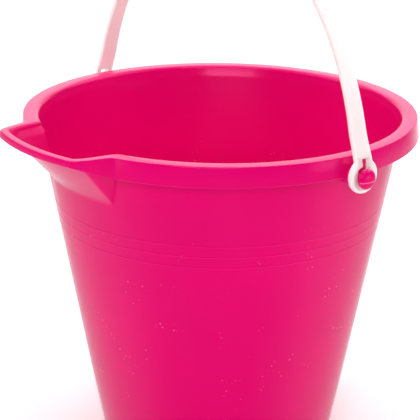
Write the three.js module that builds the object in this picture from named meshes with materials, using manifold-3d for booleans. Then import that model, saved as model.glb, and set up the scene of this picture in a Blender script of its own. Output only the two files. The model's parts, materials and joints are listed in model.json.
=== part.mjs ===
// A child's sand bucket: a moulded pail with a pouring spout, and a strap handle that
// swings on two mushroom-headed studs. Millimetres, +Z up. The origin is on the pail's
// axis, at the level of the ground it stands on. The spout points along -X and the two
// studs lie along +Y and -Y.
import * as THREE from "three";
import { mergeVertices } from "three/addons/utils/BufferGeometryUtils.js";
import Module from "manifold-3d";

// --- pail: overall sizes ---
const PAIL_HEIGHT = 175;        // ground to the flat top of the rim
const BASE_RADIUS = 61;         // outside of the wall at the ground
const WALL_FLARE = 32.4;        // how much wider the wall is at the rim than at the ground
const WALL = 1.6;               // thickness of the side wall
const FLOOR = 1.8;              // thickness of the floor
const FOOT_RECESS = 1.5;        // the floor's underside is this far above the ground
const FOOT_WIDTH = 3.2;         // width of the ring that the pail stands on
const FOOT_CHAMFER = 0.6;
const FLOOR_ROUND = 4;          // inside corner between floor and wall

// --- pail: three fine raised rings round the outside ---
const RING_DEPTHS = [55.3, 49.6, 43.9];   // below the rim's top, lowest ring first
const RING_HEIGHT = 0.25;                 // how far a ring stands proud of the wall
const RING_WIDTH = 1;

// --- pail: rim, a flat top with a skirt hanging from its outer edge ---
const RIM_OVERHANG = 6.6;       // the rim's outer edge stands this far outside the wall
const RIM_FACE = 5.8;           // width of the flat top
const RIM_THICK = 1.6;
const RIM_EDGE = 0.5;           // chamfer on the outer top edge
const SKIRT_HEIGHT = 10;
const SKIRT = 1.4;              // thickness of the skirt
const SKIRT_FLARE = 1;          // the skirt's lower edge is this much wider than its top

// --- spout: the wall and the rim are pushed out over a short arc ---
const SPOUT_DEPTH = 27.3;       // the push starts this far below the rim's top
const SPOUT_REACH = 15.3;       // how far the outer edge of the lip is pushed out
const SPOUT_LIP = 3;            // width of the flat lip at the spout
const SPOUT_LIP_HEIGHT = 3.5;   // height of the skirt at the spout
const SPOUT_CORNER = 16.9;      // degrees from the spout's middle to its corners
const SPOUT_SIDE = 5;           // degrees that each sloping side takes up at the rim
const SPOUT_FOOT_SIDE = 0.5;    // degrees that it takes up at the spout's foot
const SPOUT_BLEND = 1.4;        // degrees of rounding beyond each end of a side
const SPOUT_WALL = 0.9;         // degrees by which the inside is narrower at each side

// --- studs that carry the handle ---
const STUD_DEPTH = 9.3;         // stud axis below the rim's top
const BOSS_RADIUS = 5;
const BOSS_STANDOUT = 3.9;      // boss face outside the skirt's lower edge
const SHAFT_RADIUS = 2.8;
const HEAD_RADIUS = 4.8;
const HEAD_EDGE = 1.8;          // straight edge of the head
const HEAD_DOME = 1.8;          // rise of the dome above that edge
const HEAD_GAP = 1.6;           // side play under the head

// --- strap handle ---
const RUN_GAP = 0.4;            // clearance between handle and shaft, and between eye and boss
const STRAP_THICK = 2.6;
const STRAP_WIDTH = 10;         // at the eyes
const STRAP_WIDTH_TOP = 6.4;    // at the top of the arch
const ARCH_CLEARANCE = 0.9;     // gap to the skirt when the handle lies down beside the rim
const ARCH_SIDE_POWER = 2.43;   // the arch is a superellipse: 2 and 2 would be an ellipse
const ARCH_RISE_POWER = 1.63;
const FOOT_SET_OUT = 2;         // the arch's feet bend outwards by this to reach the eyes
const FOOT_CLEARANCE = 2;       // the feet are upright until this far above the bosses
const FOOT_BEND = 15;           // height over which they bend
const EYE_RIM = 2.3;            // width of the eye's rim round the dish
const EYE_RISE = 1;             // the eye's outline sits this far above its hole
const DISH_CLEARANCE = 1.2;     // gap round the stud's head, at the eye's face
const DISH_TAPER = 0.7;
const DISH_DEPTH = 0.9;
const SLOT_WIDTH = 2;           // slot that lets the eye spring over the head
const REST_LEAN = 1.6;          // degrees, the handle leans away from the spout

// --- resolution ---
const STEP_COARSE = 6.5;        // degrees between the pail's facets away from the spout
const SPOUT_COLUMNS = [0, 5, 10, 13.5, 15.2, 16.4, 17.4, 18.6, 19.8, 21, 22.2, 23.6, 26];
const SPOUT_ROWS = 5;
const ROUND_STEPS = 3;
const CIRCLE_STEPS = 40;
const ARCH_STEPS = 28;          // on each half of the arch
const OVERRUN = 1;              // how far a cutter runs past the face it cuts

// --- values worked out from the ones above ---
const wallTop = BASE_RADIUS + WALL_FLARE;
const rimRadius = wallTop + RIM_OVERHANG;
const rimInner = rimRadius - RIM_FACE;
const floorTop = FOOT_RECESS + FLOOR;
const spoutFoot = PAIL_HEIGHT - SPOUT_DEPTH;
const studHeight = PAIL_HEIGHT - STUD_DEPTH;
const bossFace = rimRadius + SKIRT_FLARE + BOSS_STANDOUT;
const eyeInner = bossFace + RUN_GAP;
const eyeOuter = eyeInner + STRAP_THICK;
const strapMiddle = eyeInner + STRAP_THICK / 2;
const archHeight = rimRadius + SKIRT_FLARE + ARCH_CLEARANCE + STRAP_THICK / 2;
const footStraight = BOSS_RADIUS + FOOT_CLEARANCE;
const dishRadius = HEAD_RADIUS + DISH_CLEARANCE;
const eyeRadius = dishRadius + EYE_RIM;
const slotTop = eyeRadius + EYE_RISE;
const dishFloor = eyeOuter - DISH_DEPTH;
const headSeat = dishFloor + HEAD_GAP;
const holeRadius = SHAFT_RADIUS + RUN_GAP;

const wasm = await Module();
wasm.setup();

// A closed geometry as a manifold solid: positions only, corners shared, no empty triangle.
function toSolid(geometry) {
  const bare = geometry.clone();
  bare.deleteAttribute("normal");
  bare.deleteAttribute("uv");
  const merged = mergeVertices(bare, 1e-4);
  const corners = merged.index.array;
  const kept = [];
  for (let i = 0; i < corners.length; i += 3) {
    const [a, b, c] = [corners[i], corners[i + 1], corners[i + 2]];
    if (a !== b && b !== c && c !== a) kept.push(a, b, c);
  }
  return new wasm.Manifold(new wasm.Mesh({
    numProp: 3,
    vertProperties: new Float32Array(merged.attributes.position.array),
    triVerts: new Uint32Array(kept),
  }));
}

// A manifold solid back as a geometry that a mesh can hold.
function toGeometry(solid) {
  const mesh = solid.getMesh();
  const geometry = new THREE.BufferGeometry();
  geometry.setAttribute("position", new THREE.BufferAttribute(new Float32Array(mesh.vertProperties), 3));
  geometry.setIndex(new THREE.BufferAttribute(new Uint32Array(mesh.triVerts), 1));
  geometry.computeVertexNormals();
  return geometry;
}

// A cylinder along Y between two distances from the pail's axis; its end radii may differ.
function cylinderAlongY(radiusNear, radiusFar, near, far) {
  const geometry = new THREE.CylinderGeometry(radiusFar, radiusNear, far - near, CIRCLE_STEPS);
  return geometry.translate(0, (near + far) / 2, 0);
}

// The same geometry on the opposite side of the pail's axis.
function turnedHalf(geometry) {
  return geometry.clone().rotateZ(Math.PI);
}

// Outside radius of the wall at a height.
function wallRadius(height) {
  return BASE_RADIUS + WALL_FLARE * height / PAIL_HEIGHT;
}

// How far the spout has opened at a height: 0 at its foot, 1 at the rim's top.
function spoutOpening(height) {
  return THREE.MathUtils.clamp((height - spoutFoot) / SPOUT_DEPTH, 0, 1);
}

// Share of the wall's push at an angle from the spout's middle: a flat front between two
// sharp corners, and two sloping sides that widen towards the rim.
function facetShare(angle, opening, narrowing) {
  const corner = SPOUT_CORNER - narrowing;
  const side = THREE.MathUtils.lerp(SPOUT_FOOT_SIDE, SPOUT_SIDE, opening);
  return THREE.MathUtils.clamp((corner + side - angle) / side, 0, 1);
}

// Share of the rim's push at an angle from the spout's middle: the same, in a soft S.
function lipShare(angle, narrowing) {
  const inside = SPOUT_CORNER - narrowing - SPOUT_BLEND;
  const outside = SPOUT_CORNER - narrowing + SPOUT_SIDE + SPOUT_BLEND;
  return 1 - THREE.MathUtils.smoothstep(angle, inside, outside);
}

// One point of the pail's section. push(angle) gives the point's radial shift at the spout
// and raise(angle) its rise; both are zero away from the spout.
function still(r, z) {
  return { r, z, push: () => 0, raise: () => 0 };
}

function onWall(r, z, reachAtTop, narrowing) {
  const opening = spoutOpening(z);
  const push = (angle) => reachAtTop * opening * facetShare(angle, opening, narrowing);
  return { r, z, push, raise: () => 0 };
}

function onLip(r, z, reach, narrowing, rise) {
  const push = (angle) => reach * lipShare(angle, narrowing);
  const raise = (angle) => rise * lipShare(angle, narrowing);
  return { r, z, push, raise };
}

// The pail's section from the axis under the floor, up the outside, over the rim and down
// the inside to the axis again.
function pailSection() {
  const spoutSlope = Math.hypot(SPOUT_DEPTH, SPOUT_REACH) / SPOUT_DEPTH;
  const innerLip = rimRadius + SPOUT_REACH - SPOUT_LIP;
  const innerReach = innerLip - rimInner;
  const insideReach = innerReach + rimInner - (wallTop - WALL) - WALL / 2;
  const outsideReach = insideReach + WALL * (spoutSlope - 1);
  const section = [];
  section.push(still(0, FOOT_RECESS));
  section.push(still(BASE_RADIUS - FOOT_WIDTH - FOOT_RECESS / 2, FOOT_RECESS));
  section.push(still(BASE_RADIUS - FOOT_WIDTH, 0));
  section.push(still(BASE_RADIUS - FOOT_CHAMFER, 0));
  section.push(still(wallRadius(FOOT_CHAMFER), FOOT_CHAMFER));
  for (const depth of RING_DEPTHS) {
    const height = PAIL_HEIGHT - depth;
    const low = height - RING_WIDTH / 2;
    const high = height + RING_WIDTH / 2;
    section.push(still(wallRadius(low), low));
    section.push(still(wallRadius(height) + RING_HEIGHT, height));
    section.push(still(wallRadius(high), high));
  }
  const underRim = PAIL_HEIGHT - RIM_THICK;
  for (let row = 0; row <= SPOUT_ROWS; row += 1) {
    const height = THREE.MathUtils.lerp(spoutFoot, underRim, row / SPOUT_ROWS);
    section.push(onWall(wallRadius(height), height, outsideReach, 0));
  }
  const skirtInner = rimRadius - SKIRT;
  const skirtFoot = PAIL_HEIGHT - SKIRT_HEIGHT;
  const skirtRise = SKIRT_HEIGHT - SPOUT_LIP_HEIGHT;
  section.push(onLip(skirtInner, underRim, SPOUT_REACH, 0, 0));
  const footReach = SPOUT_REACH - SKIRT_FLARE * skirtRise / SKIRT_HEIGHT;
  section.push(onLip(skirtInner + SKIRT_FLARE, skirtFoot, footReach, 0, skirtRise));
  section.push(onLip(rimRadius + SKIRT_FLARE, skirtFoot, footReach, 0, skirtRise));
  section.push(onLip(rimRadius, PAIL_HEIGHT - RIM_EDGE, SPOUT_REACH, 0, 0));
  section.push(onLip(rimRadius - RIM_EDGE, PAIL_HEIGHT, SPOUT_REACH, 0, 0));
  section.push(onLip(rimInner, PAIL_HEIGHT, innerReach, SPOUT_WALL, 0));
  const lipRound = rimInner - (wallTop - WALL);
  for (let step = 1; step <= ROUND_STEPS; step += 1) {
    const turn = Math.PI / 2 * step / ROUND_STEPS;
    const height = PAIL_HEIGHT - lipRound * (1 - Math.cos(turn));
    const radius = rimInner - lipRound * Math.sin(turn);
    const reachBelow = insideReach * spoutOpening(height);
    const reach = THREE.MathUtils.lerp(innerReach, reachBelow, step / ROUND_STEPS);
    section.push(onLip(radius, height, reach, SPOUT_WALL, 0));
  }
  const underLip = PAIL_HEIGHT - lipRound;
  for (let row = SPOUT_ROWS - 1; row >= 0; row -= 1) {
    const height = THREE.MathUtils.lerp(spoutFoot, underLip, row / SPOUT_ROWS);
    const radius = wallRadius(height) - WALL;
    section.push(onWall(radius, height, insideReach, SPOUT_WALL));
  }
  const ringLow = PAIL_HEIGHT - RING_DEPTHS[0];
  section.push(still(wallRadius(ringLow) - WALL, ringLow));
  for (let step = 0; step <= ROUND_STEPS; step += 1) {
    const turn = Math.PI / 2 * step / ROUND_STEPS;
    const height = floorTop + FLOOR_ROUND * (1 - Math.sin(turn));
    const radius = wallRadius(height) - WALL - FLOOR_ROUND * (1 - Math.cos(turn));
    section.push(still(radius, height));
  }
  section.push(still(0, floorTop));
  return section;
}

// The angles, in degrees from the spout's middle, at which the section is placed: close
// together at the spout and evenly spaced round the rest.
function pailAngles() {
  const last = SPOUT_COLUMNS[SPOUT_COLUMNS.length - 1];
  const evenSteps = Math.round((180 - last) / STEP_COARSE);
  const half = [...SPOUT_COLUMNS];
  for (let step = 1; step < evenSteps; step += 1) {
    half.push(last + (180 - last) * step / evenSteps);
  }
  const other = half.slice(1).reverse().map((angle) => 360 - angle);
  return [...half, 180, ...other, 360];
}

// The pail's body: a lathe whose columns are moved to the angles above and whose points
// are pushed out and raised where the spout is.
function pailBody() {
  const section = pailSection();
  const angles = pailAngles();
  const points = section.map((point) => new THREE.Vector2(point.r, point.z));
  const geometry = new THREE.LatheGeometry(points, angles.length - 1);
  const position = geometry.attributes.position;
  angles.forEach((angle, column) => {
    const fromMiddle = Math.min(angle, 360 - angle);
    const around = Math.PI + THREE.MathUtils.degToRad(angle % 360);
    section.forEach((point, row) => {
      const radius = point.r + point.push(fromMiddle);
      const height = point.z + point.raise(fromMiddle);
      const index = column * section.length + row;
      position.setXYZ(index, radius * Math.cos(around), radius * Math.sin(around), height);
    });
  });
  return geometry;
}

// A stud on the +Y side: a boss on the wall, a shaft, and a domed head.
function stud() {
  const root = wallRadius(studHeight) - WALL / 2;
  const boss = cylinderAlongY(BOSS_RADIUS, BOSS_RADIUS, root, bossFace);
  const shaft = cylinderAlongY(SHAFT_RADIUS, SHAFT_RADIUS, root, headSeat + HEAD_EDGE / 2);
  const outline = [new THREE.Vector2(0, headSeat), new THREE.Vector2(HEAD_RADIUS, headSeat)];
  for (let step = 0; step <= ROUND_STEPS; step += 1) {
    const turn = Math.PI / 2 * step / ROUND_STEPS;
    const rise = headSeat + HEAD_EDGE + HEAD_DOME * Math.sin(turn);
    outline.push(new THREE.Vector2(HEAD_RADIUS * Math.cos(turn), rise));
  }
  outline[outline.length - 1].x = 0;
  const head = new THREE.LatheGeometry(outline, CIRCLE_STEPS);
  return [boss, shaft, head].map((geometry) => geometry.translate(0, 0, studHeight));
}

function makePail() {
  let solid = toSolid(pailBody());
  for (const geometry of stud()) {
    solid = solid.add(toSolid(geometry)).add(toSolid(turnedHalf(geometry)));
  }
  const material = new THREE.MeshStandardMaterial({ color: 0xe3006b, roughness: 0.28, metalness: 0 });
  const mesh = new THREE.Mesh(toGeometry(solid), material);
  mesh.name = "pail";
  return mesh;
}

// A point on the arch's middle line: turn runs from 0 at the +Y stud to 180 degrees at
// the other one.
function archPoint(turn) {
  const across = Math.cos(turn);
  const up = Math.sin(turn);
  const height = archHeight * Math.abs(up) ** (2 / ARCH_RISE_POWER);
  const side = (strapMiddle - FOOT_SET_OUT) * Math.abs(across) ** (2 / ARCH_SIDE_POWER);
  const bend = THREE.MathUtils.clamp(1 - (height - footStraight) / FOOT_BEND, 0, 1) ** 2;
  return new THREE.Vector2(Math.sign(across) * THREE.MathUtils.lerp(side, strapMiddle, bend), height);
}

// The arch of the handle: a flat strap in the plane of the studs, narrowing to the top.
function strap() {
  const middle = [];
  for (let step = 0; step <= 2 * ARCH_STEPS; step += 1) {
    middle.push(archPoint(Math.PI / 2 * step / ARCH_STEPS));
  }
  middle[0].y = 0;
  middle[middle.length - 1].y = 0;
  const outer = [];
  const inner = [];
  middle.forEach((point, i) => {
    const before = middle[Math.max(i - 1, 0)];
    const after = middle[Math.min(i + 1, middle.length - 1)];
    const along = after.clone().sub(before).normalize();
    const outward = new THREE.Vector2(along.y, -along.x).multiplyScalar(STRAP_THICK / 2);
    outer.push(point.clone().add(outward));
    inner.push(point.clone().sub(outward));
  });
  const outline = new THREE.Shape([...outer, ...inner.reverse()]);
  const geometry = new THREE.ExtrudeGeometry(outline, { depth: STRAP_WIDTH, bevelEnabled: false });
  geometry.translate(0, 0, -STRAP_WIDTH / 2);
  const toPlane = new THREE.Matrix4().makeBasis(
    new THREE.Vector3(0, 1, 0), new THREE.Vector3(0, 0, 1), new THREE.Vector3(1, 0, 0));
  geometry.applyMatrix4(toPlane);
  const position = geometry.attributes.position;
  for (let i = 0; i < position.count; i += 1) {
    const share = THREE.MathUtils.clamp(position.getZ(i) / archHeight, 0, 1);
    const width = THREE.MathUtils.lerp(STRAP_WIDTH, STRAP_WIDTH_TOP, share);
    position.setX(i, position.getX(i) * width / STRAP_WIDTH);
  }
  return geometry;
}

function makeHandle() {
  const eye = cylinderAlongY(eyeRadius, eyeRadius, eyeInner, eyeOuter);
  eye.translate(0, 0, EYE_RISE);
  const hole = cylinderAlongY(holeRadius, holeRadius, eyeInner - OVERRUN, eyeOuter + OVERRUN);
  const dish = cylinderAlongY(dishRadius - DISH_TAPER, dishRadius, dishFloor, eyeOuter + OVERRUN);
  const slot = new THREE.BoxGeometry(SLOT_WIDTH, STRAP_THICK + 2 * OVERRUN, slotTop);
  slot.translate(0, strapMiddle, slotTop / 2);
  let solid = toSolid(strap());
  solid = solid.add(toSolid(eye)).add(toSolid(turnedHalf(eye)));
  for (const cutter of [hole, dish, slot]) {
    solid = solid.subtract(toSolid(cutter)).subtract(toSolid(turnedHalf(cutter)));
  }
  const material = new THREE.MeshStandardMaterial({ color: 0xfaeded, roughness: 0.4, metalness: 0 });
  const mesh = new THREE.Mesh(toGeometry(solid), material);
  mesh.name = "handle";
  mesh.position.set(0, 0, studHeight);
  mesh.rotation.y = THREE.MathUtils.degToRad(REST_LEAN);
  return mesh;
}

const bucket = new THREE.Group();
bucket.add(makePail(), makeHandle());

export default bucket;
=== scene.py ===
"""A child's sand bucket: a glossy moulded pail with a pouring spout and a translucent strap handle.

Metres, +Z up, the spout along -X and the two studs along +Y and -Y. The pail, its studs and the
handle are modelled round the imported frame. The pail and its studs ride on one body, the handle on
the other.
"""

import json
import math
from collections import namedtuple

import bmesh
import bpy
from mathutils import Matrix, Vector


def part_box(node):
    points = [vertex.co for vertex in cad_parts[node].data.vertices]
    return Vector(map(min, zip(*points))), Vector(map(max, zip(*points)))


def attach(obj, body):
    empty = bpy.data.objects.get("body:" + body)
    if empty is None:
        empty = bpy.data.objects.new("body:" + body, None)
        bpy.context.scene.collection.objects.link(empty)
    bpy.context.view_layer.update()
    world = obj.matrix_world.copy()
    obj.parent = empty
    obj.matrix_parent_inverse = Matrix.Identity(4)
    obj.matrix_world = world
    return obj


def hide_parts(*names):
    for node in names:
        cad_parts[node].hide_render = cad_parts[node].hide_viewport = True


bl_info = {
    "name": "Sand bucket",
    "version": (1, 0, 0),
    "blender": (4, 5, 0),
    "location": "View3D > Sidebar > Bucket",
    "description": "Models a moulded sand bucket with a spout, two studs and a strap handle",
    "category": "Object",
}

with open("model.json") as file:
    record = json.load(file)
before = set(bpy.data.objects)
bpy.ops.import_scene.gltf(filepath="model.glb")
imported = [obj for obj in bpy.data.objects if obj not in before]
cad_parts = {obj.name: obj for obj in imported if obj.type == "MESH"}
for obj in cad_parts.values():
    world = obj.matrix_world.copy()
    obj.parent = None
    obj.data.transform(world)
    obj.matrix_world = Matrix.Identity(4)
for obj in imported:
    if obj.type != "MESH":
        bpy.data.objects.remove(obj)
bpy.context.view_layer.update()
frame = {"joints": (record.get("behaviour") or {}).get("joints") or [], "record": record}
pail_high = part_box("pail")[1]
handle_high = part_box("handle")[1]
hinge = Vector(frame["joints"][0]["pos_m"])
slot_colours = {entry["slot"]: entry["base_color"] for entry in frame["record"]["materials"]}

MM = 0.001
WELD = 0.002 * MM               # vertices closer than this are one
SMOOTH_ANGLE = math.radians(38)


# ---------------------------------------------------------------- sizes and colours


def length(name, description, millimetres):
    """A length property, given in millimetres and held in metres."""
    return bpy.props.FloatProperty(
        name=name, description=description, default=millimetres * MM,
        min=0, precision=5, subtype="DISTANCE", unit="LENGTH")


def angle(name, description, degrees):
    """An angle property, given in degrees and held in radians."""
    return bpy.props.FloatProperty(
        name=name, description=description, default=math.radians(degrees),
        precision=3, subtype="ANGLE", unit="ROTATION")


def number(name, description, value):
    """A plain number property."""
    return bpy.props.FloatProperty(name=name, description=description, default=value, precision=3)


def colour(name, description, value):
    """A linear colour property."""
    return bpy.props.FloatVectorProperty(
        name=name, description=description, default=value, size=3, min=0, max=1, subtype="COLOR")


class PailSizes(bpy.types.PropertyGroup):
    """Sizes of the pail's moulding."""

    height: length("Height", "Ground to the flat top of the rim", pail_high.z / MM)
    base_radius: length("Base radius", "Outside of the wall at the ground", 61)
    skirt_radius: length("Skirt radius", "Outside of the skirt's lower edge", pail_high.x / MM)
    skirt_flare: length("Skirt flare", "How much wider the skirt is below than above", 1)
    rim_overhang: length("Rim overhang", "The rim's outer edge beyond the wall", 6.6)
    rim_face: length("Rim face", "Width of the flat top", 5.8)
    rim_thick: length("Rim thickness", "Thickness of the flat top", 1.6)
    rim_round: length("Rim round", "Radius of the rim's outer edge", 0.6)
    skirt_height: length("Skirt height", "Height of the skirt away from the spout", 10)
    skirt: length("Skirt thickness", "Thickness of the skirt", 1.4)
    skirt_round: length("Skirt round", "Radius of the skirt's lower edges", 0.5)
    wall: length("Wall", "Thickness of the side wall", 1.6)
    wall_round: length("Wall round", "Fillet between the wall and the rim", 0.8)
    floor: length("Floor", "Thickness of the floor", 1.8)
    floor_round: length("Floor round", "Inside corner between floor and wall", 4)
    foot_recess: length("Foot recess", "Underside of the floor above the ground", 1.5)
    foot_width: length("Foot width", "Width of the ring the pail stands on", 3.2)
    foot_round: length("Foot round", "Radius of the foot ring's outer edge", 0.6)
    ring_depth: length("Ring depth", "Lowest of the three fine rings below the rim's top", 55.3)
    ring_step: length("Ring step", "Distance from one fine ring to the next", 5.7)
    ring_height: length("Ring height", "How far a fine ring stands proud", 0.12)
    ring_width: length("Ring width", "Width of a fine ring", 1)


class SpoutSizes(bpy.types.PropertyGroup):
    """Sizes of the pouring spout."""

    depth: length("Depth", "The spout starts this far below the rim's top", 27.3)
    reach: length("Reach", "How far the outer edge of the lip is pushed out", 15.3)
    lip: length("Lip", "Width of the flat lip at the spout", 3)
    lip_height: length("Lip height", "Height of the skirt at the spout", 3.5)
    corner: angle("Corner", "From the spout's middle to its corners", 16.9)
    side: angle("Side", "What each sloping side takes up at the rim", 5)
    foot_side: angle("Foot side", "What each sloping side takes up at the spout's foot", 0.5)
    blend: angle("Blend", "Rounding beyond each end of a side, on the lip", 1.4)
    crease: angle("Crease", "Half width of the rounding of a side's edges", 0.5)
    narrowing: angle("Narrowing", "How much narrower the inside is at each side", 0.9)
    foot_round: length("Foot round", "Half height of the rounding at the spout's foot", 1.8)


class StudSizes(bpy.types.PropertyGroup):
    """Sizes of the two mushroom-headed studs."""

    boss_radius: length("Boss radius", "Radius of the boss on the wall", 5)
    boss_standout: length("Boss standout", "Boss face outside the skirt's lower edge", 3.9)
    shaft_radius: length("Shaft radius", "Radius of the shaft that the eye turns on", 2.8)
    head_radius: length("Head radius", "Radius of the head", 4.8)
    head_height: length("Head height", "Seat of the head to the top of its parting line", 3.6)
    head_edge: length("Head edge", "Straight edge of the head", 1.7)
    edge_round: length("Edge round", "Radius of the small rounded edges", 0.4)
    parting_drop: length("Parting drop", "Parting line below the middle of the head", 0.9)
    parting_width: length("Parting width", "Width of the parting line", 0.5)
    parting_height: length("Parting height", "How far the parting line stands proud", 0.3)


class HandleSizes(bpy.types.PropertyGroup):
    """Sizes of the strap handle."""

    outer_face: length("Outer face", "Outer face of the eyes from the pail's axis", handle_high.y / MM)
    thick: length("Thickness", "Thickness of the strap", 2.6)
    width: length("Width", "Width of the strap at the eyes", 10)
    width_top: length("Width at the top", "Width of the strap at the top of the arch", 6.4)
    arch_height: length("Arch height", "Middle of the strap above the studs", 103.2)
    side_power: number("Side power", "Superellipse power of the arch's width", 2.43)
    rise_power: number("Rise power", "Superellipse power of the arch's height", 1.63)
    foot_set_out: length("Foot set-out", "The feet bend outwards by this", 2)
    foot_straight: length("Foot straight", "Height above the studs where the bend starts", 7)
    foot_bend: length("Foot bend", "Height above the studs where the bend has ended", 22)
    edge_round: length("Edge round", "Radius of the strap's long edges", 0.7)
    eye_radius: length("Eye radius", "Radius of the eye's outline", 8.3)
    eye_rise: length("Eye rise", "The eye's outline sits this far above its hole", 1)
    neck_round: length("Neck round", "Fillet between the eye and the strap", 0.8)
    hole_radius: length("Hole radius", "Hole for the stud's shaft", 3.2)
    dish_radius: length("Dish radius", "Recess round the stud's head", 6)
    dish_taper: length("Dish taper", "The recess is this much smaller at its floor", 0.7)
    dish_depth: length("Dish depth", "Depth of the recess", 0.9)
    cut_round: length("Cut round", "Radius of the edges of the dish, hole and slot", 0.28)
    slot_width: length("Slot width", "Slot that lets the eye spring over the head", 2.8)
    slot_web: length("Slot web", "The slot is this deep before it opens into its relief", 0.5)
    relief_width: length("Relief width", "Width of the relief behind the slot", 6.6)
    neck_top: length("Neck top", "Where the eye's plate ends above the stud's axis", 11)
    lean: angle("Lean", "The handle leans away from the spout", 1.6)
    mark_turn: angle("Mark turn", "Place of the moulded mark on the arch", 48.1)
    mark_radius: length("Mark radius", "Middle of the moulded ring mark", 1.95)
    mark_line: length("Mark line", "Half thickness of the moulded ring mark", 0.28)
    mark_shift: length("Mark shift", "The mark sits this far towards the spout side", 1.3)
    mark_dot: length("Mark dot", "Radius of the dot in the mark's middle", 0.5)


class BucketColours(bpy.types.PropertyGroup):
    """Colours of the mouldings and the floor."""

    pail: colour("Pail", "Magenta pink polypropylene", slot_colours["pail_plastic"])
    pail_edge: colour("Pail reflection", "Tint of the pail's head-on reflection", (1.0, 0.25, 0.55))
    # The parting line's paler colour is partly stress whitening and partly a painted highlight that the
    # small ridge does not catch.
    pail_flash: colour("Pail parting line", "Stress-whitened parting line on the stud heads",
                       (1.0, 0.13, 0.36))
    pail_speck: colour("Pail specks", "Fine pale specks in the plastic", (0.95, 0.16, 0.38))
    handle: colour("Handle", "Slightly translucent white", slot_colours["handle_plastic"])
    handle_glow: colour("Handle glow", "Light that travels inside the handle", (1.0, 0.96, 0.94))
    ground: colour("Ground", "Plain pale floor", (0.93, 0.93, 0.93))


class StageSettings(bpy.types.PropertyGroup):
    """Camera and light."""

    azimuth: angle("Azimuth", "Camera round the pail from -Y, below zero towards -X", -38.2)
    elevation: angle("Elevation", "Camera above the horizon", 15.252)
    distance: length("Distance", "Camera to the middle of the rim", 800)
    lens: number("Lens", "Focal length in millimetres", 134.2)
    aim_left: length("Aim left", "Aim to the left of the axis", 4.71)
    aim_drop: length("Aim drop", "Aim below the rim's top", 54.63)
    roll: angle("Roll", "Camera roll", 0.556)
    ground_size: length("Ground size", "Side of the floor", 30000)
    surround_front: number("Surround in front", "Brightness on the camera's side", 0.08)
    surround_low: number("Surround below", "Brightness beside and below, as a share of behind", 0.55)
    surround_back: number("Surround behind", "Brightness behind the pail", 1.3)
    side_power: number("Side power", "Power of each side softbox in watts", 5.5)
    back_power: number("Back power", "Power of the softbox behind in watts", 56)
    key_power: number("Key power", "Power of the key light in watts", 11.4)
    top_power: number("Top power", "Power of the softbox over the pail in watts", 4)
    strip_power: number("Strip power", "Power of the right strip in watts", 1.1)


# ---------------------------------------------------------------- small helpers


def deselect_all():
    """Leaves edit mode and deselects every object."""
    if bpy.context.object and bpy.context.object.mode != "OBJECT":
        bpy.ops.object.mode_set(mode="OBJECT")
    bpy.ops.object.select_all(action="DESELECT")


def make_active(piece):
    """Selects one piece only."""
    deselect_all()
    piece.select_set(True)
    bpy.context.view_layer.objects.active = piece


def edit(piece):
    """Puts one piece in edit mode."""
    make_active(piece)
    bpy.ops.object.mode_set(mode="EDIT")


def start_vertex(name, point):
    """A new piece with one selected vertex, in edit mode, to draw an outline from."""
    deselect_all()
    bpy.ops.mesh.primitive_plane_add(size=MM)
    piece = bpy.context.object
    piece.name = name
    piece.data.name = name
    bpy.ops.object.mode_set(mode="EDIT")
    bpy.ops.mesh.select_mode(type="VERT")
    bpy.ops.mesh.select_all(action="SELECT")
    bpy.ops.mesh.merge(type="CENTER")
    bpy.ops.transform.translate(value=point)
    return piece


def draw_line(points):
    """Extrudes the selected vertex from the first point through the others."""
    for before, after in zip(points, points[1:]):
        bpy.ops.mesh.extrude_region_move(
            TRANSFORM_OT_translate={"value": Vector(after) - Vector(before)})


def weld_and_face_out():
    """Merges the vertices that meet and turns all faces outwards, in edit mode."""
    bpy.ops.mesh.select_all(action="SELECT")
    bpy.ops.mesh.remove_doubles(threshold=WELD)
    bpy.ops.mesh.normals_make_consistent(inside=False)


def select_only(kind, test):
    """Selects the vertices, edges or faces that pass a test, in edit mode."""
    bpy.ops.mesh.select_all(action="DESELECT")
    bpy.ops.mesh.select_mode(type={"verts": "VERT", "edges": "EDGE", "faces": "FACE"}[kind])
    mesh = bmesh.from_edit_mesh(bpy.context.object.data)
    for element in getattr(mesh, kind):
        if test(element):
            element.select_set(True)
    mesh.select_flush_mode()
    bmesh.update_edit_mesh(bpy.context.object.data)


def cut_with(piece, cutter, operation="DIFFERENCE"):
    """Cuts or joins with another solid, which is used up."""
    make_active(piece)
    bpy.ops.object.modifier_add(type="BOOLEAN")
    step = piece.modifiers[-1]
    step.operation = operation
    step.solver = "EXACT"
    step.object = cutter
    bpy.ops.object.modifier_apply(modifier=step.name)
    bpy.data.objects.remove(cutter)


def shade(piece):
    """Smooth shading that keeps the sharp corners."""
    make_active(piece)
    bpy.ops.object.shade_smooth_by_angle(angle=SMOOTH_ANGLE)


def check_closed(piece):
    """Stops the build where a finished piece is empty or has an open edge."""
    mesh = bmesh.new()
    mesh.from_mesh(piece.data)
    faces = len(mesh.faces)
    open_edges = sum(1 for edge in mesh.edges if len(edge.link_faces) != 2)
    mesh.free()
    if not faces or open_edges:
        raise RuntimeError(f"{piece.name} has {faces} faces and {open_edges} open edges")


def settle(piece, name, body, material):
    """Names a finished piece, puts its object at the origin and ties it to its body and slot."""
    check_closed(piece)
    make_active(piece)
    bpy.ops.object.transform_apply(location=True, rotation=True, scale=True)
    piece.name = name
    piece.data.name = name
    piece.data.materials.clear()
    piece.data.materials.append(material)
    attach(piece, body)


def arc(centre, radius, start, end, steps):
    """Points of a round edge in a section, from start to end in degrees."""
    points = []
    for step in range(steps + 1):
        turn = math.radians(start + (end - start) * step / steps)
        points.append((centre[0] + radius * math.cos(turn), centre[1] + radius * math.sin(turn)))
    return points


def mix(start, end, share):
    """The value that lies share of the way from start to end."""
    return start + (end - start) * share


def soft_start(value, blend):
    """Zero below 0 and value above it, with a rounded start of half width blend."""
    if value <= -blend:
        return 0.0
    if value >= blend:
        return value
    return (value + blend) ** 2 / (4 * blend)


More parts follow.
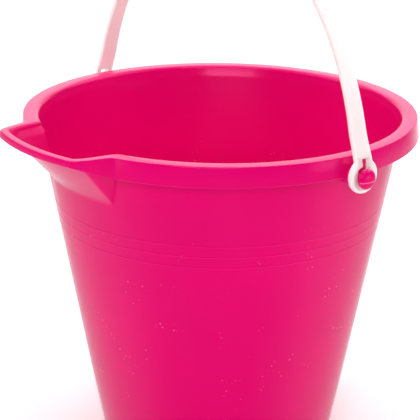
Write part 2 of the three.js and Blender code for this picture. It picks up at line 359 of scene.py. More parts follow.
def soft_clamp(value, blend):
    """value held between 0 and 1, with rounded ends."""
    return soft_start(value, blend) - soft_start(value - 1, blend)


def smoothstep(low, high, value):
    """A soft step from 0 at low to 1 at high."""
    share = min(max((value - low) / (high - low), 0), 1)
    return share * share * (3 - 2 * share)


# ---------------------------------------------------------------- materials

PAIL_CLOUD = 0.93               # the deeper clouds as a share of the colour
HANDLE_CLOUD = (0.87, 0.91)     # the deeper and the paler clouds
GROUND_CLOUD = 0.985            # the darker clouds as a share of the colour
SPECK_SCALE = 330               # cells to the metre, one speck in each
SPECK_EDGE = (0.1, 0.17)        # a speck fades out between these shares of its cell
PATCH_EDGE = (0.55, 0.66)       # specks start where the patches' noise passes these
SPECK_FADE = (0.115, 0.14)      # heights between which the specks fade out


def new_material(name):
    """A node material with its shader and its tree."""
    material = bpy.data.materials.new(name)
    material.use_nodes = True
    return material, material.node_tree, material.node_tree.nodes["Principled BSDF"]


def object_noise(tree, scale, detail, stretch=(1, 1, 1)):
    """Noise on Object coordinates, stretched along the axes."""
    place = tree.nodes.new("ShaderNodeTexCoord")
    mapping = tree.nodes.new("ShaderNodeMapping")
    mapping.inputs["Scale"].default_value = stretch
    noise = tree.nodes.new("ShaderNodeTexNoise")
    noise.inputs["Scale"].default_value = scale
    noise.inputs["Detail"].default_value = detail
    tree.links.new(place.outputs["Object"], mapping.inputs["Vector"])
    tree.links.new(mapping.outputs["Vector"], noise.inputs["Vector"])
    return noise


def spread(tree, source, low, high, from_low=0.3, from_high=0.7):
    """Spreads a value over a range."""
    node = tree.nodes.new("ShaderNodeMapRange")
    node.inputs["From Min"].default_value = from_low
    node.inputs["From Max"].default_value = from_high
    node.inputs["To Min"].default_value = low
    node.inputs["To Max"].default_value = high
    tree.links.new(source, node.inputs["Value"])
    return node.outputs["Result"]


def blend_colours(tree, share, first, second):
    """Mixes two colours, each a triple or an output, by a share."""
    node = tree.nodes.new("ShaderNodeMix")
    node.data_type = "RGBA"
    tree.links.new(share, node.inputs["Factor"])
    for name, value in (("A", first), ("B", second)):
        socket = [entry for entry in node.inputs if entry.name == name and entry.type == "RGBA"][0]
        if isinstance(value, bpy.types.NodeSocket):
            tree.links.new(value, socket)
        else:
            socket.default_value = (*value, 1)
    return [entry for entry in node.outputs if entry.type == "RGBA"][0]


def add_bump(tree, shader, height, strength, distance):
    """Fine relief from a height value."""
    bump = tree.nodes.new("ShaderNodeBump")
    bump.inputs["Strength"].default_value = strength
    bump.inputs["Distance"].default_value = distance
    tree.links.new(height, bump.inputs["Height"])
    tree.links.new(bump.outputs["Normal"], shader.inputs["Normal"])


def combined(tree, operation, first, second):
    """One value worked out from two others."""
    node = tree.nodes.new("ShaderNodeMath")
    node.operation = operation
    tree.links.new(first, node.inputs[0])
    tree.links.new(second, node.inputs[1])
    return node.outputs["Value"]


def object_position(tree):
    """Object coordinates, as separate X, Y and Z."""
    place = tree.nodes.new("ShaderNodeTexCoord")
    parts = tree.nodes.new("ShaderNodeSeparateXYZ")
    tree.links.new(place.outputs["Object"], parts.inputs["Vector"])
    return parts.outputs


def crown_start(stud):
    """Where the head's straight edge ends, from the pail's axis."""
    return pail_high.y - stud.head_height + stud.head_edge - stud.edge_round


def parting_mask(tree):
    """1 on the parting lines across the stud heads, 0 elsewhere; there they are painted paler, partly
    stress whitening and partly a painted highlight.
    """
    stud = bpy.context.scene.bucket_stud
    crown = crown_start(stud)
    level = hinge.z - stud.parting_drop
    position = object_position(tree)
    outward = tree.nodes.new("ShaderNodeMath")
    outward.operation = "ABSOLUTE"
    tree.links.new(position["Y"], outward.inputs[0])
    on_head = spread(tree, outward.outputs["Value"], 0, 1, crown, crown + stud.edge_round)
    on_line = tree.nodes.new("ShaderNodeMath")
    on_line.operation = "COMPARE"
    on_line.inputs[1].default_value = level
    on_line.inputs[2].default_value = stud.parting_width / 2
    tree.links.new(position["Z"], on_line.inputs[0])
    return combined(tree, "MULTIPLY", on_head, on_line.outputs["Value"])


def speck_mask(tree):
    """1 on fine specks that lie in patches and fade out at the fine rings, 0 elsewhere."""
    place = tree.nodes.new("ShaderNodeTexCoord")
    specks = tree.nodes.new("ShaderNodeTexVoronoi")
    specks.inputs["Scale"].default_value = SPECK_SCALE
    tree.links.new(place.outputs["Object"], specks.inputs["Vector"])
    dots = spread(tree, specks.outputs["Distance"], 1, 0, *SPECK_EDGE)
    patches = object_noise(tree, scale=60, detail=2)
    where = spread(tree, patches.outputs["Fac"], 0, 1, *PATCH_EDGE)
    low = spread(tree, object_position(tree)["Z"], 1, 0, *SPECK_FADE)
    return combined(tree, "MULTIPLY", combined(tree, "MULTIPLY", dots, where), low)


def pink_polypropylene(colours):
    """Glossy magenta polypropylene: soft flow clouds, fine pale specks, parting lines painted paler as
    stress whitening and a painted highlight, and a nearly even gloss.
    """
    material, tree, shader = new_material("pink_polypropylene")
    clouds = object_noise(tree, scale=16, detail=3)
    deeper = tuple(channel * PAIL_CLOUD for channel in colours.pail)
    base = blend_colours(tree, spread(tree, clouds.outputs["Fac"], 0, 1), deeper, tuple(colours.pail))
    speckled = blend_colours(tree, speck_mask(tree), base, tuple(colours.pail_speck))
    # Painted highlight: the parting lines are painted paler, partly stress whitening and partly a
    # highlight painted into the colour.
    whitened_and_highlighted = blend_colours(tree, parting_mask(tree), speckled, tuple(colours.pail_flash))
    tree.links.new(whitened_and_highlighted, shader.inputs["Base Color"])
    gloss = object_noise(tree, scale=45, detail=4, stretch=(1, 1, 0.35))
    tree.links.new(spread(tree, gloss.outputs["Fac"], 0.16, 0.24), shader.inputs["Roughness"])
    ripple = object_noise(tree, scale=70, detail=2, stretch=(1, 1, 0.3))
    add_bump(tree, shader, ripple.outputs["Fac"], strength=0.12, distance=0.1 * MM)
    shader.inputs["IOR"].default_value = 1.46
    shader.inputs["Specular Tint"].default_value = (*colours.pail_edge, 1)
    return material


def white_polypropylene(colours):
    """Slightly translucent white polypropylene with faint clouds and a satin gloss."""
    material, tree, shader = new_material("white_polypropylene")
    clouds = object_noise(tree, scale=40, detail=3)
    deeper, paler = (tuple(channel * share for channel in colours.handle) for share in HANDLE_CLOUD)
    base = blend_colours(tree, spread(tree, clouds.outputs["Fac"], 0, 1), deeper, paler)
    tree.links.new(base, shader.inputs["Base Color"])
    gloss = object_noise(tree, scale=90, detail=3)
    tree.links.new(spread(tree, gloss.outputs["Fac"], 0.28, 0.4), shader.inputs["Roughness"])
    grain = object_noise(tree, scale=900, detail=2)
    add_bump(tree, shader, grain.outputs["Fac"], strength=0.08, distance=0.05 * MM)
    shader.inputs["IOR"].default_value = 1.49
    shader.inputs["Subsurface Weight"].default_value = 0.85
    shader.inputs["Subsurface Radius"].default_value = tuple(colours.handle_glow)
    shader.inputs["Subsurface Scale"].default_value = 5 * MM
    return material


def ground_paint(colours):
    """Matt pale floor with the faintest clouding."""
    material, tree, shader = new_material("ground_paint")
    clouds = object_noise(tree, scale=3, detail=2)
    darker = tuple(channel * GROUND_CLOUD for channel in colours.ground)
    base = blend_colours(tree, spread(tree, clouds.outputs["Fac"], 0, 1), darker, tuple(colours.ground))
    tree.links.new(base, shader.inputs["Base Color"])
    shader.inputs["Roughness"].default_value = 0.9
    shader.inputs["Specular IOR Level"].default_value = 0.1
    return material


# ---------------------------------------------------------------- the pail

# One point of the pail's section. kind is "still", "wall" or "lip"; reach is how far it is pushed
# out at the spout, rise how far it is lifted there, and inside says which side it is on.
Row = namedtuple("Row", "r z kind reach rise inside")

SPOUT_END = math.radians(28)    # beyond this angle from the spout's middle nothing is moved
SPOUT_STEPS = 140               # columns across the spout
REST_STEPS = 152                # columns round the rest
SPOUT_ROWS = 12
FADE_BELOW = 15 * MM            # the columns straighten out over this height below the spout
EDGE_STEPS = 4
BEAD_ROWS = 4                   # rows in each half of a fine ring
RING_ROWS = 5                   # the same with one row of plain wall


class PailShape:
    """The pail's section and the moves that make its spout."""

    def __init__(self, pail, spout):
        self.pail = pail
        self.spout = spout
        self.rim_radius = pail.skirt_radius - pail.skirt_flare
        self.wall_top = self.rim_radius - pail.rim_overhang
        self.rim_inner = self.rim_radius - pail.rim_face
        self.floor_top = pail.foot_recess + pail.floor
        self.foot = pail.height - spout.depth
        slope = math.hypot(spout.depth, spout.reach) / spout.depth
        inner_lip = self.rim_radius + spout.reach - spout.lip
        self.inner_reach = inner_lip - self.rim_inner
        self.lip_round = self.rim_inner - (self.wall_top - pail.wall)
        self.inside_reach = self.inner_reach + self.lip_round - pail.wall / 2
        self.outside_reach = self.inside_reach + pail.wall * (slope - 1)

    def wall_radius(self, z):
        """Outside radius of the wall at a height."""
        return mix(self.pail.base_radius, self.wall_top, z / self.pail.height)

    def opening(self, z):
        """How far the spout has opened at a height: 0 at its foot, 1 at the rim's top."""
        blend = self.spout.foot_round / self.spout.depth
        return soft_start((z - self.foot) / self.spout.depth, blend)

    def spout_heights(self, top):
        """Heights of the section's rows over the spout: close together at its foot."""
        round_foot = self.spout.foot_round
        heights = [self.foot + round_foot * share for share in (-1, -0.6, -0.2, 0.2, 0.6, 1)]
        for row in range(1, SPOUT_ROWS + 1):
            heights.append(mix(self.foot + round_foot, top, row / SPOUT_ROWS))
        return heights

    def underside(self):
        """From the axis, under the floor and round the foot ring."""
        pail = self.pail
        inner = pail.base_radius - pail.foot_width
        chamfer = pail.foot_recess / 2
        points = [(0, pail.foot_recess), (inner - chamfer, pail.foot_recess), (inner, 0)]
        points += arc((pail.base_radius - pail.foot_round, pail.foot_round), pail.foot_round,
                      -90, 0, EDGE_STEPS)
        return [Row(r, z, "still", 0, 0, False) for r, z in points]

    def outside(self):
        """Up the wall with its three fine rings, to the rim's underside."""
        pail = self.pail
        rows = []
        for ring in range(3):
            middle = pail.height - pail.ring_depth + ring * pail.ring_step
            for step in range(-RING_ROWS, RING_ROWS + 1):
                z = middle + pail.ring_width / 2 * step / BEAD_ROWS
                away = min(abs(step) / BEAD_ROWS, 1)
                bead = pail.ring_height * (1 + math.cos(math.pi * away)) / 2
                rows.append(Row(self.wall_radius(z) + bead, z, "still", 0, 0, False))
        under_rim = pail.height - pail.rim_thick
        low = under_rim - pail.wall_round
        for z in self.spout_heights(low):
            rows.append(Row(self.wall_radius(z), z, "wall", self.outside_reach, 0, False))
        centre = (self.wall_radius(low) + pail.wall_round, low)
        for r, z in arc(centre, pail.wall_round, 180, 90, EDGE_STEPS)[1:]:
            rows.append(Row(r, z, "wall", self.outside_reach, 0, False))
        return rows

    def rim(self):
        """Out under the rim, down and up the skirt, over the flat top and the inner round."""
        pail, spout = self.pail, self.spout
        under_rim = pail.height - pail.rim_thick
        foot = pail.height - pail.skirt_height
        rise = pail.skirt_height - spout.lip_height
        foot_reach = spout.reach - pail.skirt_flare * rise / pail.skirt_height
        inner = self.rim_radius - pail.skirt
        edge, bevel = pail.skirt_round, pail.rim_round
        rows = [Row(inner, under_rim, "lip", spout.reach, 0, False)]
        rounded = arc((inner + pail.skirt_flare + edge, foot + edge), edge, 180, 270, EDGE_STEPS)
        rounded += arc((pail.skirt_radius - edge, foot + edge), edge, 270, 360, EDGE_STEPS)
        rows += [Row(r, z, "lip", foot_reach, rise, False) for r, z in rounded]
        top = arc((self.rim_radius - bevel, pail.height - bevel), bevel, 0, 90, EDGE_STEPS)
        rows += [Row(r, z, "lip", spout.reach, 0, False) for r, z in top]
        steps = 2 * EDGE_STEPS
        centre = (self.rim_inner, pail.height - self.lip_round)
        for step, (r, z) in enumerate(arc(centre, self.lip_round, 90, 180, steps)):
            below = self.inside_reach * self.opening(z)
            rows.append(Row(r, z, "lip", mix(self.inner_reach, below, step / steps), 0, True))
        return rows

    def inside(self):
        """Down the inside of the wall and over the floor to the axis."""
        pail = self.pail
        rows = []
        for z in reversed(self.spout_heights(pail.height - self.lip_round)[:-1]):
            rows.append(Row(self.wall_radius(z) - pail.wall, z, "wall", self.inside_reach, 0, True))
        corner = pail.floor_round
        for step in range(2 * EDGE_STEPS + 1):
            turn = math.pi / 2 * step / (2 * EDGE_STEPS)
            z = self.floor_top + corner * (1 - math.sin(turn))
            r = self.wall_radius(z) - pail.wall - corner * (1 - math.cos(turn))
            rows.append(Row(r, z, "still", 0, 0, True))
        rows.append(Row(0, self.floor_top, "still", 0, 0, True))
        return rows

    def section(self):
        """The whole section, from the axis under the floor to the axis above it."""
        return self.underside() + self.outside() + self.rim() + self.inside()

    def place(self, row, turn):
        """(radius, angle, height) of a row's point whose column is turn from the spout's middle."""
        spout = self.spout
        corner = spout.corner - (spout.narrowing if row.inside else 0)
        opening = self.opening(row.z)
        side = mix(spout.foot_side, spout.side, min(opening, 1))
        radius, height = row.r, row.z
        if row.kind == "wall":
            share = soft_clamp((corner + side - turn) / side, min(spout.crease / side, 0.5))
            radius += row.reach * opening * share
        if row.kind == "lip":
            start, end = corner - spout.blend, corner + spout.side + spout.blend
            share = 1 - smoothstep(start, end, turn)
            radius += row.reach * share
            height += row.rise * share
        return radius, height

    def column(self, row, turn):
        """The angle that a column takes at a row, so that the columns follow the spout's sides."""
        spout = self.spout
        corner = spout.corner - (spout.narrowing if row.inside else 0)
        if row.kind == "lip":
            side = spout.side
        else:
            side = mix(spout.foot_side, spout.side, min(self.opening(row.z), 1))
        fade = smoothstep(self.foot - FADE_BELOW, self.foot, row.z)
        corner = mix(spout.corner, corner, fade)
        side = mix(spout.side, side, fade)
        plain_corner, plain_end = spout.corner, spout.corner + spout.side
        if turn <= plain_corner:
            return turn * corner / plain_corner
        if turn <= plain_end:
            return corner + (turn - plain_corner) * side / spout.side
        return mix(corner + side, SPOUT_END, (turn - plain_end) / (SPOUT_END - plain_end))


def spin_pail(shape):
    """Draws the section at the edge of the spout and spins it round the axis, finely at the spout."""
    start = math.pi + SPOUT_END
    points = [Vector((row.r * math.cos(start), row.r * math.sin(start), row.z))
              for row in shape.section()]
    piece = start_vertex("pail_body", points[0])
    draw_line(points)
    bpy.ops.mesh.select_all(action="SELECT")
    around = 2 * math.pi - 2 * SPOUT_END
    for steps, sweep in ((REST_STEPS, around), (SPOUT_STEPS, 2 * SPOUT_END)):
        bpy.ops.mesh.spin(steps=steps, angle=-sweep, center=(0, 0, 0), axis=(0, 0, 1))
    weld_and_face_out()
    bpy.ops.object.mode_set(mode="OBJECT")
    return piece


def push_out_spout(piece, shape):
    """Moves the vertices near the spout to where its front, its sides and its lip lie."""
    rows = shape.section()
    for vertex in piece.data.vertices:
        x, y, z = vertex.co
        turn = math.atan2(abs(y), -x)
        radius = math.hypot(x, y)
        if turn > SPOUT_END or z < shape.foot - FADE_BELOW or radius < shape.pail.base_radius:
            continue
        row = min(rows, key=lambda entry: (entry.r - radius) ** 2 + (entry.z - z) ** 2)
        moved = shape.column(row, turn)
        radius, height = shape.place(row, moved)
        side = math.copysign(1, y)
        vertex.co = (-radius * math.cos(moved), side * radius * math.sin(moved), height)
    piece.data.update()


class BUCKET_OT_pail(bpy.types.Operator):
    """Spin the pail's section round its axis and push out the spout"""

    bl_idname = "bucket.pail"
    bl_label = "Pail"

    def execute(self, context):
        scene = context.scene
        shape = PailShape(scene.bucket_pail, scene.bucket_spout)
        piece = spin_pail(shape)
        push_out_spout(piece, shape)
        shade(piece)
        settle(piece, "pail_body", "pail_body", scene_material(scene, "pail"))
        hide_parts("pail")
        return {"FINISHED"}


# ---------------------------------------------------------------- the studs

STUD_STEPS = 64
DOME_STEPS = 12
DOME_START = 40                 # where the head's edge meets its dome, in degrees
FACES_OUT = 0.3                 # least outward part of a face that the parting line takes up


def stud_section(shape, stud):
    """(distance from the pail's axis, radius) of the boss, the shaft and the domed head."""
    root = shape.wall_radius(hinge.z) - shape.pail.wall / 2
    boss_face = shape.pail.skirt_radius + stud.boss_standout
    top = pail_high.y - stud.parting_height
    seat = pail_high.y - stud.head_height
    edge, shaft, head = stud.edge_round, stud.shaft_radius, stud.head_radius
    points = [(root, 0), (root, stud.boss_radius)]
    points += arc((boss_face - edge, stud.boss_radius - edge), edge, 90, 0, EDGE_STEPS)
    points += arc((boss_face + edge, shaft + edge), edge, 180, 270, EDGE_STEPS)
    points += [(seat, shaft)]
    points += arc((seat + edge / 2, head - edge / 2), edge / 2, 180, 90, EDGE_STEPS)
    crown = seat + stud.head_edge
    inner = head - edge
    points += arc((crown - edge, inner), edge, 90, DOME_START, EDGE_STEPS)
    last = points[-1]
    for step in range(1, DOME_STEPS + 1):
        turn = math.pi / 2 * step / DOME_STEPS
        points.append((mix(last[0], top, math.sin(turn)), last[1] * math.cos(turn)))
    points[-1] = (top, 0)
    return points


def raise_parting_line(piece, stud):
    """Cuts two lines across the head and lifts the strip between them."""
    level = hinge.z - stud.parting_drop
    half = stud.parting_width / 2
    crown = crown_start(stud)
    edit(piece)
    for z in (level - half, level + half):
        bpy.ops.mesh.select_all(action="SELECT")
        bpy.ops.mesh.bisect(plane_co=(0, 0, z), plane_no=(0, 0, 1))

    def in_strip(face):
        centre = face.calc_center_median()
        return abs(centre.z - level) < half and centre.y > crown and face.normal.y > FACES_OUT

    select_only("faces", in_strip)
    bpy.ops.mesh.extrude_region_shrink_fatten(
        TRANSFORM_OT_shrink_fatten={"value": stud.parting_height})
    bpy.ops.object.mode_set(mode="OBJECT")


def spin_stud(shape, stud):
    """One stud on the +Y side, spun round its own axis."""
    section = stud_section(shape, stud)
    points = [Vector((0, y, hinge.z + radius)) for y, radius in section]
    piece = start_vertex("stud", points[0])
    draw_line(points)
    bpy.ops.mesh.select_all(action="SELECT")
    bpy.ops.mesh.spin(steps=STUD_STEPS, angle=2 * math.pi, center=hinge, axis=(0, 1, 0))
    weld_and_face_out()
    raise_parting_line(piece, stud)
    return piece


class BUCKET_OT_studs(bpy.types.Operator):
    """Spin one mushroom-headed stud, raise its parting line and copy it to the other side"""

    bl_idname = "bucket.studs"
    bl_label = "Studs"

    def execute(self, context):
        scene = context.scene
        shape = PailShape(scene.bucket_pail, scene.bucket_spout)
        far = spin_stud(shape, scene.bucket_stud)
        shade(far)
        near = far.copy()
        near.data = far.data.copy()
        context.collection.objects.link(near)
        near.data.transform(Matrix.Rotation(math.pi, 4, "Z"))
        for piece, name in ((far, "stud_far"), (near, "stud_near")):
            settle(piece, name, "pail_body", scene_material(scene, "pail"))
            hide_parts("pail")
        return {"FINISHED"}


# ---------------------------------------------------------------- the handle

EYE_STEPS = 72
ARCH_STEPS = 44
CUT_STEPS = 64
OVERRUN = 1 * MM                # a cutter sticks out by this
CUT_CORNER = math.radians(25)   # sharper edges than this are rounded after the cuts
SLACK = 5 * WELD                # for telling which edges belong to a cut
DOT_FLATTEN = 0.5
NUDGE = 0.0005                  # turn to either side for the lean of the arch


def arch_point(handle, turn):
    """(y, z above the studs) of the strap's middle line, and its lean from upright."""

    def middle(at):
        height = handle.arch_height * abs(math.sin(at)) ** (2 / handle.rise_power)
        upright = handle.outer_face - handle.thick / 2
        side = (upright - handle.foot_set_out) * abs(math.cos(at)) ** (2 / handle.side_power)
        left = (handle.foot_bend - height) / (handle.foot_bend - handle.foot_straight)
        return Vector((mix(side, upright, min(max(left, 0), 1) ** 2), height))

    along = middle(min(turn + NUDGE, math.pi / 2)) - middle(max(turn - NUDGE, 0))
    return middle(turn), math.atan2(-along.x, along.y)


def eye_plate(handle):
    """The +Y eye as a flat plate with a stub of strap, its long edges rounded, round the hinge."""
    half = handle.width / 2
    inner = handle.outer_face - handle.thick
    swing = math.asin(half / handle.eye_radius)
    neck = handle.eye_rise + handle.eye_radius * math.cos(swing)
    centre = (0, inner, handle.eye_rise)
    piece = start_vertex("handle", (half, inner, neck))
    bpy.ops.mesh.spin(steps=EYE_STEPS, angle=2 * (swing - math.pi), center=centre, axis=(0, 1, 0))
    last = Vector((-half, inner, neck))
    draw_line([last, (-half, inner, handle.neck_top), (half, inner, handle.neck_top),
               (half, inner, neck)])
    bpy.ops.mesh.select_all(action="SELECT")
    bpy.ops.mesh.remove_doubles(threshold=WELD)
    bpy.ops.mesh.edge_face_add()

    def at_neck(vertex):
        return abs(abs(vertex.co.x) - half) < WELD and abs(vertex.co.z - neck) < WELD

    select_only("verts", at_neck)
    bpy.ops.mesh.bevel(offset=handle.neck_round, segments=5, affect="VERTICES")
    bpy.ops.mesh.select_all(action="SELECT")
    bpy.ops.mesh.extrude_region_move(TRANSFORM_OT_translate={"value": (0, handle.thick, 0)})
    weld_and_face_out()

    def long_edge(edge):
        flat = abs(edge.verts[0].co.y - edge.verts[1].co.y) < WELD
        at_end = all(vertex.co.z > handle.neck_top - WELD for vertex in edge.verts)
        return flat and not at_end

    select_only("edges", long_edge)
    bpy.ops.mesh.bevel(offset=handle.edge_round, segments=4, affect="EDGES")
    bpy.ops.object.mode_set(mode="OBJECT")
    return piece


def cutter_along_y(near_radius, far_radius, near, far):
    """A round cutter along Y between two distances from the pail's axis."""
    deselect_all()
    bpy.ops.mesh.primitive_cone_add(
        vertices=CUT_STEPS, radius1=near_radius, radius2=far_radius, depth=far - near,
        location=(0, (near + far) / 2, 0), rotation=(-math.pi / 2, 0, 0))
    return bpy.context.object


def block_above_hinge(width, near, far, top):
    """A rectangular cutter from the hinge upwards, between two distances from the pail's axis."""
    deselect_all()
    bpy.ops.mesh.primitive_cube_add(size=1, location=(0, (near + far) / 2, top / 2),
                                    scale=(width, far - near, top))
    return bpy.context.object


def cut_eye(piece, handle):
    """Cuts the dish, the hole, the slot and the relief behind it, and rounds their edges."""
    outer = handle.outer_face
    inner = outer - handle.thick
    floor = outer - handle.dish_depth
    slope = handle.dish_taper / handle.dish_depth
    wide = handle.dish_radius + slope * OVERRUN
    narrow = handle.dish_radius - handle.dish_taper
    inside, outside = inner - OVERRUN, outer + OVERRUN
    cut_with(piece, cutter_along_y(narrow, wide, floor, outside))
    cut_with(piece, cutter_along_y(handle.hole_radius, handle.hole_radius, inside, outside))
    slot_top = handle.eye_radius + handle.eye_rise
    cut_with(piece, block_above_hinge(handle.slot_width, inside, outside, slot_top))
    web = outer - handle.slot_web
    cut_with(piece, block_above_hinge(handle.relief_width, inside, web, slot_top))
    edit(piece)
    bpy.ops.mesh.select_all(action="SELECT")
    bpy.ops.mesh.remove_doubles(threshold=WELD)
    reach = handle.dish_radius + SLACK
    side = handle.slot_width / 2 + SLACK

    def cut_edge(edge):
        if len(edge.link_faces) != 2 or edge.calc_face_angle() < CUT_CORNER:
            return False
        near_hole = all(math.hypot(vertex.co.x, vertex.co.z) < reach for vertex in edge.verts)
        in_slot = all(abs(vertex.co.x) < side and vertex.co.z > 0 for vertex in edge.verts)
        return near_hole or in_slot

    select_only("edges", cut_edge)
    bpy.ops.mesh.bevel(offset=handle.cut_round, segments=3, affect="EDGES", clamp_overlap=True)
    bpy.ops.object.mode_set(mode="OBJECT")


def turn_at_height(handle, height):
    """The turn at which the arch reaches a height above the studs."""
    return math.asin((height / handle.arch_height) ** (handle.rise_power / 2))


def lean_neck(piece, handle):
    """Moves the top of the eye's plate onto the start of the arch."""
    upright = handle.outer_face - handle.thick / 2
    for vertex in piece.data.vertices:
        if vertex.co.z > handle.foot_straight:
            middle = arch_point(handle, turn_at_height(handle, vertex.co.z))[0]
            vertex.co.y += middle.x - upright
    piece.data.update()


def draw_strap(piece, handle):
    """Extrudes the plate's end along half of the arch, to the middle of the handle."""
    edit(piece)

    def at_end(element):
        return all(vertex.co.z > handle.neck_top - WELD for vertex in element.verts)

    select_only("faces", at_end)
    bpy.ops.mesh.delete(type="ONLY_FACE")
    select_only("edges", at_end)
    start = turn_at_height(handle, handle.neck_top)
    before = arch_point(handle, start)[0]
    lean = 0
    width = handle.width
    for step in range(1, ARCH_STEPS + 1):
        after, turned = arch_point(handle, mix(start, math.pi / 2, step / ARCH_STEPS))
        if step == ARCH_STEPS:
            turned = math.pi / 2
        wide = mix(handle.width, handle.width_top, after.y / handle.arch_height)
        move = (0, after.x - before.x, after.y - before.y)
        pivot = (0, after.x, after.y)
        bpy.ops.mesh.extrude_region_move(TRANSFORM_OT_translate={"value": move})
        bpy.ops.transform.rotate(value=lean - turned, orient_axis="X", center_override=pivot)
        bpy.ops.transform.resize(value=(wide / width, 1, 1), center_override=pivot)
        before, lean, width = after, turned, wide
    bpy.ops.object.mode_set(mode="OBJECT")
    make_active(piece)
    bpy.ops.object.modifier_add(type="MIRROR")
    step = piece.modifiers[-1]
    step.use_axis = (False, True, False)
    step.merge_threshold = 10 * WELD
    bpy.ops.object.modifier_apply(modifier=step.name)
    edit(piece)
    weld_and_face_out()
    bpy.ops.object.mode_set(mode="OBJECT")


def add_mark(piece, handle):
    """Joins the small moulded ring and its dot to the outer face of the near leg."""
    middle, lean = arch_point(handle, handle.mark_turn)
    outward = Vector((0, -math.cos(lean), math.sin(lean)))
    place = Vector((-handle.mark_shift, -middle.x, middle.y)) + outward * handle.thick / 2
    facing = outward.to_track_quat("Z", "X").to_euler()
    deselect_all()
    bpy.ops.mesh.primitive_torus_add(
        major_radius=handle.mark_radius, minor_radius=handle.mark_line,
        major_segments=48, minor_segments=10, location=place, rotation=facing)
    cut_with(piece, bpy.context.object, "UNION")
    deselect_all()
    bpy.ops.mesh.primitive_uv_sphere_add(
        segments=20, ring_count=10, radius=handle.mark_dot, location=place, rotation=facing)
    bpy.ops.transform.resize(value=(1, 1, DOT_FLATTEN), orient_type="LOCAL")
    cut_with(piece, bpy.context.object, "UNION")


class BUCKET_OT_handle(bpy.types.Operator):
    """Model an eye, draw the strap out along the arch, mirror it and add the moulded mark"""

    bl_idname = "bucket.handle"
    bl_label = "Handle"

    def execute(self, context):
        scene = context.scene
        handle = scene.bucket_handle
        piece = eye_plate(handle)
        cut_eye(piece, handle)
        lean_neck(piece, handle)
        draw_strap(piece, handle)
        add_mark(piece, handle)
        turn = Matrix.Rotation(handle.lean, 4, "Y")
        piece.data.transform(Matrix.Translation(hinge) @ turn)
        shade(piece)
        settle(piece, "handle_strap", "handle_body", scene_material(scene, "handle"))
        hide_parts("handle")
        return {"FINISHED"}


# ---------------------------------------------------------------- the stage


MATERIAL_MAKERS = {"pail": pink_polypropylene, "handle": white_polypropylene, "ground": ground_paint}
LEFT_STRIP = 0.25               # power of the left strip as a share of the right one


def scene_material(scene, kind):
    """The material of that kind, made once."""
    maker = MATERIAL_MAKERS[kind]
    return bpy.data.materials.get(maker.__name__) or maker(scene.bucket_colours)


def add_ground(scene):
    """A large pale floor."""
    deselect_all()
    bpy.ops.mesh.primitive_plane_add(size=scene.bucket_stage.ground_size)
    ground = bpy.context.object
    ground.name = "ground"
    ground.data.materials.append(scene_material(scene, "ground"))
    ground.visible_glossy = False


def add_camera(scene):
    """The camera at the front left of the pail, looking slightly down."""
    stage = scene.bucket_stage
    centre = Vector((0, 0, scene.bucket_pail.height))
    back = Vector((math.sin(stage.azimuth) * math.cos(stage.elevation),
                   -math.cos(stage.azimuth) * math.cos(stage.elevation),
                   math.sin(stage.elevation)))
    place = centre + back * stage.distance
    across = Vector((math.cos(stage.azimuth), math.sin(stage.azimuth), 0))
    aim = centre - across * stage.aim_left - Vector((0, 0, stage.aim_drop))
    forward = (aim - place).normalized()
    right = forward.cross(Vector((0, 0, 1))).normalized()
    up = right.cross(forward)
    turned_right = right * math.cos(stage.roll) + up * math.sin(stage.roll)
    turned_up = up * math.cos(stage.roll) - right * math.sin(stage.roll)
    turn = Matrix((turned_right, turned_up, -forward)).transposed().to_euler()
    bpy.ops.object.camera_add(location=place, rotation=turn)
    camera = bpy.context.object
    camera.data.lens = stage.lens
    camera.data.sensor_width = 36
    camera.data.clip_start = 0.01
    camera.data.clip_end = 100
    scene.camera = camera


def camera_axes(scene):
    """Level directions to the camera's right and away from it."""
    azimuth = scene.bucket_stage.azimuth
    across = Vector((math.cos(azimuth), math.sin(azimuth), 0))
    away = Vector((-math.sin(azimuth), math.cos(azimuth), 0))
    return across, away


def add_softbox(scene, name, place, aim, size, power):
    """A rectangular soft light; place and aim are (across, away, up) as the camera sees them."""
    across, away = camera_axes(scene)
    up = Vector((0, 0, 1))
    start, end = (across * x + away * y + up * z for x, y, z in (place, aim))
    turn = (end - start).to_track_quat("-Z", "Y").to_euler()
    bpy.ops.object.light_add(type="AREA", location=start, rotation=turn)
    light = bpy.context.object
    light.name = name
    light.data.shape = "RECTANGLE"
    light.data.size, light.data.size_y = size
    light.data.energy = power


def eased(tree, source, start, end, most=1):
    """A soft step from 0 at start to its most at end."""
    node = tree.nodes.new("ShaderNodeMapRange")
    node.interpolation_type = "SMOOTHSTEP"
    node.inputs["From Min"].default_value = start
    node.inputs["From Max"].default_value = end
    node.inputs["To Max"].default_value = most
    tree.links.new(source, node.inputs["Value"])
    return node.outputs["Result"]


def add_surround(scene):
    """A white surround behind the pail and round its foot, dim at eye level on the camera's side."""
    stage = scene.bucket_stage
    world = bpy.data.worlds.new("white_surround")
    scene.world = world
    world.use_nodes = True
    tree = world.node_tree
    across, away = camera_axes(scene)
    place = tree.nodes.new("ShaderNodeTexCoord")
    parts = tree.nodes.new("ShaderNodeSeparateXYZ")
    tree.links.new(place.outputs["Generated"], parts.inputs["Vector"])
    along = tree.nodes.new("ShaderNodeVectorMath")
    along.operation = "DOT_PRODUCT"
    along.inputs[1].default_value = away
    tree.links.new(place.outputs["Generated"], along.inputs[0])
    low = eased(tree, parts.outputs["Z"], -0.1, -0.35)
    beside = eased(tree, along.outputs["Value"], -0.72, -0.05, stage.surround_low)
    behind = eased(tree, along.outputs["Value"], 0.6, 0.95)
    bright = combined(tree, "MAXIMUM", combined(tree, "MULTIPLY", low, beside), behind)
    strength = tree.nodes.new("ShaderNodeMapRange")
    strength.inputs["To Min"].default_value = stage.surround_front
    strength.inputs["To Max"].default_value = stage.surround_back
    tree.links.new(bright, strength.inputs["Value"])
    background = tree.nodes["Background"]
    background.inputs["Color"].default_value = (1, 1, 1, 1)
    tree.links.new(strength.outputs["Result"], background.inputs["Strength"])


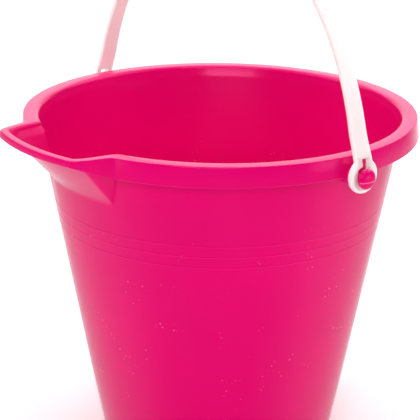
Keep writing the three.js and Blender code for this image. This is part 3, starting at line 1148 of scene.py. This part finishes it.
def light_studio(scene):
    """Softboxes over the floor, over the pail and over the camera, and a low strip on each side."""
    stage = scene.bucket_stage
    for name, side in (("left_box", -1), ("right_box", 1)):
        add_softbox(scene, name, place=(0.85 * side, 0.1, 0.8), aim=(0.45 * side, 0, 0),
                    size=(0.9, 0.9), power=stage.side_power)
    add_softbox(scene, "back_box", place=(0, 1.6, 1.8), aim=(0, 1.4, 0),
                size=(4, 2.4), power=stage.back_power)
    add_softbox(scene, "key_box", place=(-0.15, -1.45, 0.8), aim=(0, 0, 0.12),
                size=(0.9, 0.6), power=stage.key_power)
    add_softbox(scene, "top_box", place=(0, -0.2, 1.3), aim=(0, 0, 0.1),
                size=(0.7, 0.7), power=stage.top_power)
    add_softbox(scene, "right_strip", place=(1.09, -0.51, 0.1), aim=(0, 0, 0.15),
                size=(0.6, 0.3), power=stage.strip_power)
    add_softbox(scene, "left_strip", place=(-1, -0.66, 0.1), aim=(0, 0, 0.15),
                size=(0.19, 0.3), power=stage.strip_power * LEFT_STRIP)
    scene.view_settings.view_transform = "Standard"


class BUCKET_OT_stage(bpy.types.Operator):
    """Add the floor, the camera and the lights"""

    bl_idname = "bucket.stage"
    bl_label = "Stage"

    def execute(self, context):
        add_ground(context.scene)
        add_camera(context.scene)
        add_surround(context.scene)
        light_studio(context.scene)
        return {"FINISHED"}


# ---------------------------------------------------------------- panel and registration


class BUCKET_PT_panel(bpy.types.Panel):
    """Lists the steps that build the bucket."""

    bl_idname = "BUCKET_PT_panel"
    bl_label = "Sand bucket"
    bl_space_type = "VIEW_3D"
    bl_region_type = "UI"
    bl_category = "Bucket"

    def draw(self, context):
        for operator in OPERATORS:
            self.layout.operator(operator.bl_idname)
        for name in GROUPS:
            box = self.layout.box()
            group = getattr(context.scene, name)
            for field in group.bl_rna.properties.keys():
                if field not in ("rna_type", "name"):
                    box.prop(group, field)


GROUPS = {
    "bucket_pail": PailSizes,
    "bucket_spout": SpoutSizes,
    "bucket_stud": StudSizes,
    "bucket_handle": HandleSizes,
    "bucket_colours": BucketColours,
    "bucket_stage": StageSettings,
}
OPERATORS = (BUCKET_OT_pail, BUCKET_OT_studs, BUCKET_OT_handle, BUCKET_OT_stage)
CLASSES = (*GROUPS.values(), *OPERATORS, BUCKET_PT_panel)


def register():
    """Registers the classes and hangs the settings on the scene."""
    for entry in CLASSES:
        bpy.utils.register_class(entry)
    for name, group in GROUPS.items():
        setattr(bpy.types.Scene, name, bpy.props.PointerProperty(type=group))


def unregister():
    """Takes everything off again."""
    for name in GROUPS:
        delattr(bpy.types.Scene, name)
    for entry in reversed(CLASSES):
        bpy.utils.unregister_class(entry)


def main():
    register()
    bpy.ops.bucket.pail()
    bpy.ops.bucket.studs()
    bpy.ops.bucket.handle()
    bpy.ops.bucket.stage()


if __name__ == "__main__":
    main()
